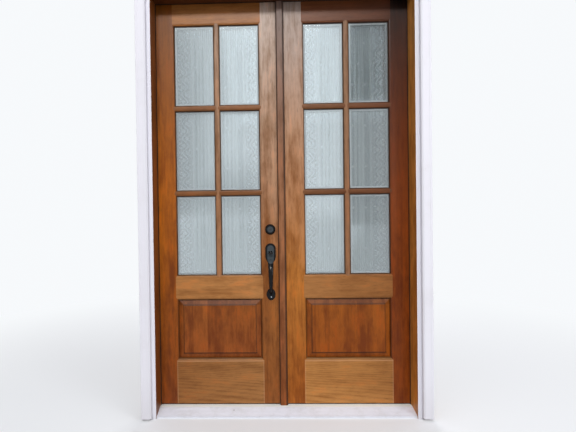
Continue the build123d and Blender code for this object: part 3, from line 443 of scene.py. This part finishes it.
def metal(name, colour, rough, metallic, wear, worn=(0.3, 0.24, 0.18), darkening_and_glint=None):
    """Cast or rolled metal with a mottled finish that has rubbed lighter in places.

    An optional function gives, for a place, how far the finish is near black and smooth, which
    is partly painted shade, and how far a painted glint lightens it; such castings are also less
    glossy elsewhere.
    """
    paint = Paint(name)
    x, y, z = paint.axes()
    here = paint.point(x, y, z)
    mottle = paint.noise(here, 55.0, 4.0, 0.6)
    fine = paint.noise(here, 900.0)
    tint = paint.mix(mottle.step(0.55, 0.75) * wear, colour, worn)
    gloss = rough + (mottle - 0.5) * 0.2 + (fine - 0.5) * 0.08
    if darkening_and_glint:
        # painted shade near black and a painted glint, where the caller gives them
        black, glint = darkening_and_glint(x, z)
        tint = paint.mix(black * 0.88, tint, (0.003, 0.002, 0.002))
        tint = paint.mix(glint * 0.8, tint, (0.52, 0.58, 0.64))
        gloss = gloss - black * (rough - 0.17)
    shader = paint.surface(
        Base_Color=tint,
        Metallic=metallic,
        Roughness=gloss,
        Normal=paint.bump(fine * 0.6 + mottle * 0.4, 0.08, 0.0004),
        Specular_IOR_Level=0.16 if darkening_and_glint else 0.5,
    )
    return paint.finish(shader)


# places on the handleset where its finish and its painted shade change, and where its painted
# glint sits
PLUG_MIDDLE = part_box("key_plug")[0].lerp(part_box("key_plug")[1], 0.5)
THUMB_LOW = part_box("thumb_piece")[0]
PLATE_MIDDLE = Vector((PLUG_MIDDLE.x, 0.0, THUMB_LOW.z + 0.005))
PLATE_STRAIGHT = 0.034  # half the height over which the plate's sides are straight
# the middle of the foot, where its painted glint sits
FOOT_MIDDLE = Vector((PLUG_MIDDLE.x + 0.001, 0.0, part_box("grip_handle")[0].z + 0.020))
GRIP_TOP = THUMB_LOW.z - 0.055


def off_centre(x, z, middle, straight=0.0):
    """Distance from a centre, or from an upright line through it that is twice straight long."""
    up = most(abs(z - middle.z) - straight, 0.0)
    return ((x - middle.x) ** 2 + up * up) ** 0.5


def handle_darkening_and_glint(x, z):
    """The raised plate keeps its slate colour; its rim, the grip and the foot are near black,
    partly as painted shade, and the foot has a painted glint.
    """
    rim = off_centre(x, z, PLATE_MIDDLE, PLATE_STRAIGHT).step(0.016, 0.023)
    grip = z.step(GRIP_TOP, GRIP_TOP - 0.012)
    return most(rim, grip), off_centre(x, z, FOOT_MIDDLE).step(0.0045, 0.0020)


def rose_darkening(x, z):
    """The bevel of the deadbolt's rose is near black, partly as painted shade."""
    return off_centre(x, z, PLUG_MIDDLE).step(0.014, 0.021), 0.0


def sill_metal():
    """Pale mill-finish aluminium with lengthwise draw lines and a dusty tread."""
    paint = Paint("sill_aluminium")
    x, y, z = paint.axes()
    draw = paint.noise(paint.point(x * 0.02, y, z), 1600.0)
    dust = paint.noise(paint.point(x, y, z), 16.0, 4.0, 0.65)
    tint = paint.mix(dust.step(0.42, 0.8) * 0.28, srgb(226, 228, 238), srgb(176, 174, 172))
    # the strip next to the leaves is paler: partly its own greener tone, partly painted light that
    # lifts the shade the leaves cast on it
    tint = paint.mix(y.step(-0.034, -0.031), tint, srgb(250, 255, 252))
    shader = paint.surface(
        Base_Color=tint,
        Metallic=0.15,
        Roughness=0.42 + (draw - 0.5) * 0.2 + dust * 0.1,
        Normal=paint.bump(draw, 0.12, 0.0004),
    )
    return paint.finish(shader)


def rubber():
    """Matt seal with a faint skin texture and dust in it."""
    paint = Paint("seal_rubber")
    here = paint.point(*paint.axes())
    skin = paint.noise(here, 500.0, 3.0)
    dust = paint.noise(here, 24.0, 3.0).step(0.5, 0.8)
    shader = paint.surface(
        Base_Color=paint.mix(dust * 0.25, (0.020, 0.012, 0.008), (0.09, 0.06, 0.04)),
        Roughness=0.75 + (skin - 0.5) * 0.2,
        Normal=paint.bump(skin, 0.2, 0.0004),
        Specular_IOR_Level=0.2,
    )
    return paint.finish(shader)


def glass():
    """Clear pane that mirrors a little of the sky, more of it at a slant, with wiped streaks."""
    paint = Paint("pane_glass")
    x, y, z = paint.axes()
    streak = paint.noise(paint.point(x * 6, y, z * 1.4), 2.2, 3.0, 0.5, 0.8)
    slant = paint.node("LayerWeight", {"Blend": 0.5}, out="Facing")
    shader = paint.surface(
        Base_Color=srgb(232, 242, 246),
        Metallic=1.0,
        Roughness=0.03 + streak * 0.04,
        Alpha=slant**4 * 0.5 + streak * 0.07 + 0.250,
    )
    return paint.finish(shader)


# the slate of the raised plates is partly painted reflection: lighter than the bronze, for the sky
# their faces mirror
SLATE = (0.050, 0.060, 0.067)
PLUG_GREY = (0.050, 0.050, 0.052)
RUBBED = (0.06, 0.05, 0.04)
DARK_BRONZE = (0.020, 0.019, 0.020)
CASTING = {"rough": 0.34, "metallic": 0.15, "wear": 0.2, "worn": RUBBED}
bronze = metal("dark_bronze", DARK_BRONZE, 0.30, 0.35, 0.22, worn=(0.075, 0.055, 0.04))
steel = metal("bolt_steel", (0.42, 0.42, 0.43), 0.3, 1.0, 0.2)
plug = metal("plug_brass", PLUG_GREY, 0.3, 0.6, 0.3, worn=(0.12, 0.10, 0.07))
handle = metal("handle_bronze", SLATE, **CASTING, darkening_and_glint=handle_darkening_and_glint)
rose = metal("rose_bronze", SLATE, **CASTING, darkening_and_glint=rose_darkening)
spacer = metal("spacer_metal", srgb(200, 206, 208), 0.5, 0.1, 0.1)

dress(
    bronze,
    "rod_strikes",
    "frame_hinges",
    "hinge_pins",
    "left_door_hinges",
    "right_door_hinges",
    "lock_strikes",
    "flush_bolt_plates",
    "bolt_cases",
    "thumb_piece",
    "inside_roses",
    "inside_knob",
    "thumbturn",
)
dress(
    steel,
    "deadbolt_bolt",
    "latch_bolt",
    "deadbolt_crank",
    "knob_spindle",
    "upper_flush_bolt",
    "lower_flush_bolt",
)
dress(plug, "key_plug")
dress(handle, "grip_handle")
dress(rose, "deadbolt_cylinder")
dress(spacer, "left_spacers", "right_spacers")
dress(sill_metal(), "sill_cover")
dress(rubber(), "frame_seals", "left_sweep", "right_sweep")
dress(glass(), "left_panes", "right_panes")
casing_paint = paintwork("casing_paint", CASING_WHITE)
dress(casing_paint, "left_brickmould", "right_brickmould", "head_brickmould")
rod_paint = paintwork("rod_paint", srgb(226, 224, 216))
dress(rod_paint, "left_curtain_rods", "right_curtain_rods")


# --- pieces that only the looks have


def linked(name, data):
    """A new object of the scene."""
    made = bpy.data.objects.new(name, data)
    bpy.context.scene.collection.objects.link(made)
    return made


def piece(name, verts, faces, material, body, smooth=False):
    """A mesh built here, riding on a body."""
    mesh = bpy.data.meshes.new(name)
    mesh.from_pydata([tuple(v) for v in verts], [], faces)
    mesh.polygons.foreach_set("use_smooth", [smooth] * len(mesh.polygons))
    mesh.materials.append(material)
    made = linked(name, mesh)
    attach(made, body)
    return made


# --- sheer curtains

FLAT_WIDTH = 0.63
HEADING = 0.018  # of cloth that stands past each rod

BORDER = 0.115  # of lace down each side of the flat cloth
VINE_REPEAT = 0.090
VINE_SWAY = 0.018
VINE_WIDTH, RIM_WIDTH, INNER_WIDTH = 0.0034, 0.0046, 0.0025
FLOWER_R, SPRIG_R, LEAF_R = 0.0150, 0.009, 0.0075
SCALLOP = 0.026
SPRIGS_ACROSS, SPRIGS_UP = 0.094, 0.125

ROD_Y = (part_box("left_curtain")[0].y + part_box("left_curtain")[1].y) / 2
ROD_R = (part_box("left_curtain")[0].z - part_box("left_curtain_rods")[0].z) / 4
ROD_CLEAR = 0.0018
PASSING = 0.013  # about how far above and below a rod's middle the cloth swings out for it
GATHERED = 0.30  # the folds of the heading have opened out this far from a rod

COLUMNS, ROWS = 400, 150
SHALLOWEST, DEEPEST = 0.0015, 0.0065  # folds
HALVINGS = 7  # of the range in which a row's depth of fold is looked for


def bloom(across, up, petals, size):
    """1 inside a small open flower round the place where across and up are 0."""
    reach = (across * across + up * up).math("SQRT")
    rim = (up.math("ARCTAN2", across) * petals).math("COSINE") * 0.28 + 0.72
    return (reach < rim * size) * (reach > 0.22 * size)


def lace_pattern(u, v):
    """Distance from the nearer side of the flat cloth, and where the threads of its lace are.

    They make a scalloped edge, a winding vine with flowers and leaves, and sprigs between.
    """
    edge = least(u, FLAT_WIDTH - u)
    turn = v / VINE_REPEAT
    sway = (turn * (2 * math.pi)).math("SINE")
    middle = BORDER * 0.5
    vine = abs(edge - middle - sway * VINE_SWAY) < VINE_WIDTH
    up = ((turn * 2).math("FRACT") - 0.5) * (VINE_REPEAT / 2)
    flower = bloom(edge - middle + sway.math("SIGN") * 0.012, up, 6, FLOWER_R)
    leaf_up = abs(up) - 0.016
    leaf_across = edge - middle + sway.math("SIGN") * 0.030
    leaf = (leaf_up * leaf_up * 3.0 + leaf_across * leaf_across) < LEAF_R**2
    scallop = abs((v * (math.pi / SCALLOP)).math("SINE"))
    rim = abs(edge - 0.004 - scallop * 0.010) < RIM_WIDTH
    inner = abs(edge - BORDER + scallop * 0.004) < INNER_WIDTH
    row = (v / SPRIGS_UP).math("FLOOR") * 0.5
    sprig_u = ((u / SPRIGS_ACROSS + row).math("FRACT") - 0.5) * SPRIGS_ACROSS
    sprig_v = ((v / SPRIGS_UP).math("FRACT") - 0.5) * SPRIGS_UP
    sprig = bloom(sprig_u, sprig_v, 5, SPRIG_R) * (edge > BORDER + 0.012)
    return edge, most(vine, flower, leaf, rim, inner, sprig)


def lace_cloth():
    """Sheer voile with woven lace borders; UV is metres on the flat cloth."""
    paint = Paint("lace_voile")
    u, v, _ = paint.axes("UV")
    _, y, _ = paint.axes()
    edge, threads = lace_pattern(u, v)
    weave = paint.noise(paint.point(u, v, 0.0), 900.0, 2.0, 0.6) - 0.5
    slub = paint.noise(paint.point(u, v * 0.004, 0.0), 260.0) - 0.5
    net = edge < BORDER
    # painted shade: the cloth is darker and greyer in the bottoms of the folds, away from the
    # glass, where it is also a little denser
    hollow = y.step(ROD_Y - 0.0035, ROD_Y + 0.0045)
    tint = paint.mix(hollow * 0.88 + slub * 0.45, srgb(218, 228, 222), srgb(102, 112, 104))
    tint = paint.mix(net * 0.72, tint, srgb(100, 110, 102))
    tint = paint.mix(threads * 0.92, tint, srgb(248, 250, 250))
    shader = paint.surface(
        Base_Color=tint,
        Roughness=0.85,
        Alpha=threads * 0.12 + weave * 0.1 + slub * 0.08 + hollow * 0.04 - net * 0.06 + 0.86,
        Normal=paint.bump(weave + slub, 0.2, 0.0003),
        Specular_IOR_Level=0.1,
    )
    return paint.finish(shader)


def fold(s, t):
    """How far a fold stands out at share s of the width and t of the height, within about 1."""
    wave = 0.0
    # folds in the width, how deep they are, and how far they wander sideways on the way up
    for count, size, drift in ((4, 0.35, 0.8), (9, 0.40, 0.9), (21, 0.55, 0.5)):
        phase = count * 2 * math.pi * s + drift * math.sin(2.6 * t + count) + count * 1.7
        uneven = 0.75 + 0.35 * math.sin(3.3 * 2 * math.pi * s + count)
        wave += size * uneven * math.sin(phase + 0.9 * math.sin(4.3 * s * math.pi + count))
    return wave


def cloth_row(low, high, z, low_rod, high_rod, depth):
    """Points of the cloth at one height, side to side: gathered at the rods, loose between."""
    near = min(abs(z - low_rod), abs(z - high_rod))
    t = (z - low_rod) / (high_rod - low_rod)
    loose = min(1.0, near / GATHERED) if low_rod < z < high_rod else 0.0
    clear = math.exp(-((near / PASSING) ** 2))
    row = []
    for i in range(COLUMNS + 1):
        s = i / COLUMNS
        gather = 0.6 * math.sin(41 * 2 * math.pi * s + 0.8 * math.sin(23 * s))
        wave = (fold(s, t) * loose + gather * (1 - loose)) * depth * (1 - 0.86 * clear)
        y = ROD_Y - clear * (ROD_R + ROD_CLEAR) + wave
        row.append(Vector((low.x + (high.x - low.x) * s, y, z)))
    return row


def run_lengths(row):
    """Distance along the cloth from its first edge to every point of a row."""
    run = [0.0]
    for before, point in zip(row, row[1:]):
        run.append(run[-1] + (point - before).length)
    return run


def sash_curtain(side, material):
    """Gathered cloth on the two rods of one leaf, in place of its plain solid.

    The folds are as deep at every height as the flat width of the cloth needs.
    """
    low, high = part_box(f"{side}_curtain")
    low_rod, high_rod = low.z - ROD_R, high.z + ROD_R
    foot, head = low_rod - HEADING, high_rod + HEADING
    verts, flat = [], []
    for j in range(ROWS + 1):
        z = foot + (head - foot) * j / ROWS
        shallow, deep = SHALLOWEST, DEEPEST
        for _ in range(HALVINGS):
            depth = (shallow + deep) / 2
            row = cloth_row(low, high, z, low_rod, high_rod, depth)
            run = run_lengths(row)
            if run[-1] < FLAT_WIDTH:
                shallow = depth
            else:
                deep = depth
        verts += row
        flat += [(length / run[-1] * FLAT_WIDTH, z - foot) for length in run]
    wide = COLUMNS + 1
    faces = [
        (j * wide + i, j * wide + i + 1, (j + 1) * wide + i + 1, (j + 1) * wide + i)
        for j in range(ROWS)
        for i in range(COLUMNS)
    ]
    cloth = piece(f"{side}_sash_curtain", verts, faces, material, f"{side}_leaf", smooth=True)
    layer = cloth.data.uv_layers.new(name="flat_cloth")
    for loop in cloth.data.loops:
        layer.data[loop.index].uv = flat[loop.vertex_index]
    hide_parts(f"{side}_curtain")


voile = lace_cloth()
sash_curtain("left", voile)
sash_curtain("right", voile)


# --- screws

HINGE_SCREW_R, SMALL_SCREW_R = 0.0042, 0.0036
# screws of a hinge plate: share of its height, and depth
HINGE_SCREWS = ((0.12, 0.018), (0.37, 0.034), (0.63, 0.018), (0.88, 0.034))
HINGES = 4
HINGE_HIGH = 0.1016
FLUSH_PLATE_HIGH = 0.170
# from the middle of a plate or rose to its two screws
CASE_SCREWS, STRIKE_SCREWS, FLUSH_SCREWS, ROSE_SCREWS = 0.0215, 0.0275, 0.077, 0.0245

LEAF_MIDDLE = (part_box("left_hinge_stile")[0].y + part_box("left_hinge_stile")[1].y) / 2
LOCKS_Z = [sum(v.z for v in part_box(node)) / 2 for node in ("key_plug", "latch_bolt")]
LOCK_X = sum(v.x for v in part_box("inside_roses")) / 2
PLATE_LOW, PLATE_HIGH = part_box("flush_bolt_plates")
FLUSH_Z = (PLATE_LOW.z + FLUSH_PLATE_HIGH / 2, PLATE_HIGH.z - FLUSH_PLATE_HIGH / 2)

# directions from a screw's middle in which its outline has a corner
SCREW_ANGLES = [k * 90 + a for k in range(4) for a in (-13, 0, 13, 29, 45, 61)]
ARM_HALF, ARM_REACH = 0.14, 0.58  # of the cross recess, as shares of the screw's radius


def cross_reach(degrees, half, reach):
    """Distance from the middle of a cross-shaped recess to its edge, in one direction."""
    off = math.radians(abs((degrees + 45) % 90 - 45))
    if math.tan(off) <= half / reach:
        return reach / math.cos(off)
    return half / math.sin(off)


def screw_head(place, out, radius):
    """Rings of a low countersunk head with a cross recess; place is on the plate's face.

    A ring has a radius and a height over the plate for each of the angles.
    """
    turn = out.to_track_quat("Z", "Y").to_matrix()
    cross = [cross_reach(a, radius * ARM_HALF, radius * ARM_REACH) for a in SCREW_ANGLES]
    outline = [
        [(radius, -0.0004)] * len(cross),
        [(radius, 0.0001)] * len(cross),
        [(radius * 0.90, 0.0003)] * len(cross),
        [(r, 0.0004) for r in cross],
        [(r * 0.72, -0.0009) for r in cross],
    ]
    verts, faces = [], []
    for ring in outline:
        for (r, up), degrees in zip(ring, SCREW_ANGLES):
            a = math.radians(degrees)
            verts.append(place + turn @ Vector((r * math.cos(a), r * math.sin(a), up)))
    count = len(SCREW_ANGLES)
    for k in range(len(outline) - 1):
        lower, upper = k * count, (k + 1) * count
        for i in range(count):
            j = (i + 1) % count
            faces.append((lower + i, lower + j, upper + j, upper + i))
    faces.append(tuple(range((len(outline) - 1) * count, len(outline) * count)))
    return verts, faces


def screws(name, body, spots):
    """One mesh of screw heads; a spot is a node, a start and a way to where the screw sits."""
    verts, faces = [], []
    for node, start, way, radius in spots:
        met, place, face_out, _ = nodes[node].ray_cast(Vector(start), Vector(way), distance=0.1)
        if not met:
            raise RuntimeError(f"{name}: no plate of {node} at {start}")
        more, rings = screw_head(place, face_out, radius)
        faces += [tuple(v + len(verts) for v in face) for face in rings]
        verts += more
    piece(name, verts, faces, bronze, body)


def hinge_spots(node, start_x, way):
    """Four staggered screws on every hinge's plate; way is the direction from start_x to it."""
    low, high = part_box(node)
    pitch = (high.z - low.z - HINGE_HIGH) / (HINGES - 1)
    return [
        (node, (start_x, y, low.z + k * pitch + share * HINGE_HIGH), (way, 0, 0), HINGE_SCREW_R)
        for k in range(HINGES)
        for share, y in HINGE_SCREWS
    ]


def edge_spots(node, start_x, way, centres, reach):
    """Two screws, above and below the middle, in each small plate on a meeting edge."""
    return [
        (node, (start_x, LEAF_MIDDLE, z + off), (way, 0, 0), SMALL_SCREW_R)
        for z in centres
        for off in (-reach, reach)
    ]


rose_spots = [
    ("inside_roses", (LOCK_X + off, 0.09, z), (0, -1, 0), SMALL_SCREW_R)
    for z in LOCKS_Z
    for off in (-ROSE_SCREWS, ROSE_SCREWS)
]
SILL_SCREW = (-0.304, -0.062, 0.08)  # over the one screw that shows in the sill
sill_spot = ("sill_cover", SILL_SCREW, (0, 0, -1), HINGE_SCREW_R)
screws(
    "frame_screws",
    "frame",
    hinge_spots("frame_hinges", start_x=-0.72, way=-1)
    + hinge_spots("frame_hinges", start_x=0.72, way=1)
    + [sill_spot],
)
screws(
    "left_leaf_screws",
    "left_leaf",
    hinge_spots("left_door_hinges", start_x=-0.80, way=1)
    + edge_spots("bolt_cases", 0.03, -1, LOCKS_Z, CASE_SCREWS)
    + rose_spots,
)
screws(
    "right_leaf_screws",
    "right_leaf",
    hinge_spots("right_door_hinges", start_x=0.80, way=-1)
    + edge_spots("lock_strikes", -0.03, 1, LOCKS_Z, STRIKE_SCREWS)
    + edge_spots("flush_bolt_plates", -0.03, 1, FLUSH_Z, FLUSH_SCREWS),
)


# --- floor, light and camera

BACKDROP = (0.93, 0.95, 0.97)


def floor():
    """Pale floor that fades into the backdrop; what it throws back on the object is dim."""
    reach = 30.0
    corners = [(-reach, -reach, 0), (reach, -reach, 0), (reach, reach, 0), (-reach, reach, 0)]
    mesh = bpy.data.meshes.new("floor")
    mesh.from_pydata(corners, [], [(0, 1, 2, 3)])
    plane = linked("floor", mesh)
    paint = Paint("floor_pale")
    x, y, _ = paint.axes()
    seen = paint.seen()
    far = (x * x + y * y).math("SQRT").step(1.3, 4.0)
    tint = paint.mix(seen, srgb(120, 116, 112), srgb(238, 239, 242))
    matt = paint.surface(Base_Color=tint, Roughness=0.8, Specular_IOR_Level=0.1)
    # in a mirror it is duller than it is, most of all in directions to the right
    right = (x / (0.01 - y)).step(0.21, 0.27)
    strength = 1 - paint.mirrored() * (right * 0.28 + 0.20)
    glow = paint.node("Emission", {"Color": BACKDROP, "Strength": strength})
    shader = paint.node("MixShader", {0: seen * far, 1: matt, 2: glow})
    mesh.materials.append(paint.finish(shader))


def soft_light(name, place, target, size, watts, colour):
    lamp = bpy.data.lights.new(name, "AREA")
    lamp.shape = "RECTANGLE"
    lamp.size, lamp.size_y = size
    lamp.energy, lamp.color = watts, colour
    holder = linked(name, lamp)
    holder.location = place
    way = Vector(target) - Vector(place)
    holder.rotation_euler = way.to_track_quat("-Z", "Y").to_euler()


def sky():
    """Soft light from the sky in front and above, and a pale background for what looks at it."""
    world = bpy.data.worlds.new("studio")
    bpy.context.scene.world = world
    paint = Paint("studio", world)
    across, depth, up = paint.axes("Generated")
    front = depth.step(0.3, -0.7)
    overhead = up.step(0.55, 0.90) * 0.65
    strength = up.step(-0.08, 0.35) * (front * 0.95 + 0.25) * (1 - overhead) + 0.05
    ambient = paint.node("Background", {"Color": (0.95, 0.97, 1.0), "Strength": strength})
    backdrop = paint.node("Background", {"Color": BACKDROP, "Strength": 1.0})
    # in a mirror the sky is dimmer to the sides, low down on the left and under the horizon
    above = up.step(-0.04, 0.01)
    right = across.step(0.175, 0.195) * (up.step(0.22, 0.26) * 0.28 + 0.60)
    left = across.step(-0.08, -0.20) * above * 0.42
    low_left = up.step(0.15, 0.05) * across.step(0.04, -0.04) * above * 0.30
    darkest = most(right, left, low_left, (1 - above) * 0.20)
    dimmed = paint.node("Background", {"Color": BACKDROP, "Strength": 1 - front * darkest})
    lit = paint.node("MixShader", {0: paint.seen(), 1: ambient, 2: backdrop})
    paint.finish(paint.node("MixShader", {0: paint.mirrored(), 1: lit, 2: dimmed}), "OutputWorld")


CAMERA_AT = (-0.1068, -2.4935, 1.1951)
CAMERA_YAW, CAMERA_PITCH, CAMERA_ROLL = -0.0259, 0.0121, -0.0134
FRAME_SHIFT = 0.0588  # the photograph is framed to the right of the lens axis
LENS_MM = 26.0
SENSOR_MM = 36.0


def camera():
    """Stand where the photograph was taken, left of the middle and looking almost level."""
    data = bpy.data.cameras.new("camera")
    data.lens, data.sensor_width, data.shift_x = LENS_MM, SENSOR_MM, FRAME_SHIFT
    view = linked("camera", data)
    ahead = Vector(
        (
            math.sin(CAMERA_YAW) * math.cos(CAMERA_PITCH),
            math.cos(CAMERA_YAW) * math.cos(CAMERA_PITCH),
            -math.sin(CAMERA_PITCH),
        )
    )
    level = Vector((math.cos(CAMERA_YAW), -math.sin(CAMERA_YAW), 0))
    upright = level.cross(ahead)
    c, s = math.cos(CAMERA_ROLL), math.sin(CAMERA_ROLL)
    right, up = level * c + upright * s, upright * c - level * s
    turn = Matrix((right, up, -ahead)).transposed().to_4x4()
    view.matrix_world = Matrix.Translation(CAMERA_AT) @ turn
    bpy.context.scene.camera = view


floor()
soft_light("key", (-0.7, -11.0, 8.5), (0, 0, 1.1), (5.0, 1.9), 900, (1.0, 0.99, 0.97))
soft_light("fill", (3.6, -3.8, 2.2), (0, 0, 1.1), (1.8, 2.4), 60, (0.96, 0.98, 1.0))
soft_light("back", (0.6, 4.2, 3.6), (0, 0, 1.2), (2.6, 2.0), 110, (1.0, 1.0, 1.0))
sky()
camera()
bpy.context.scene.view_settings.view_transform = "Standard"
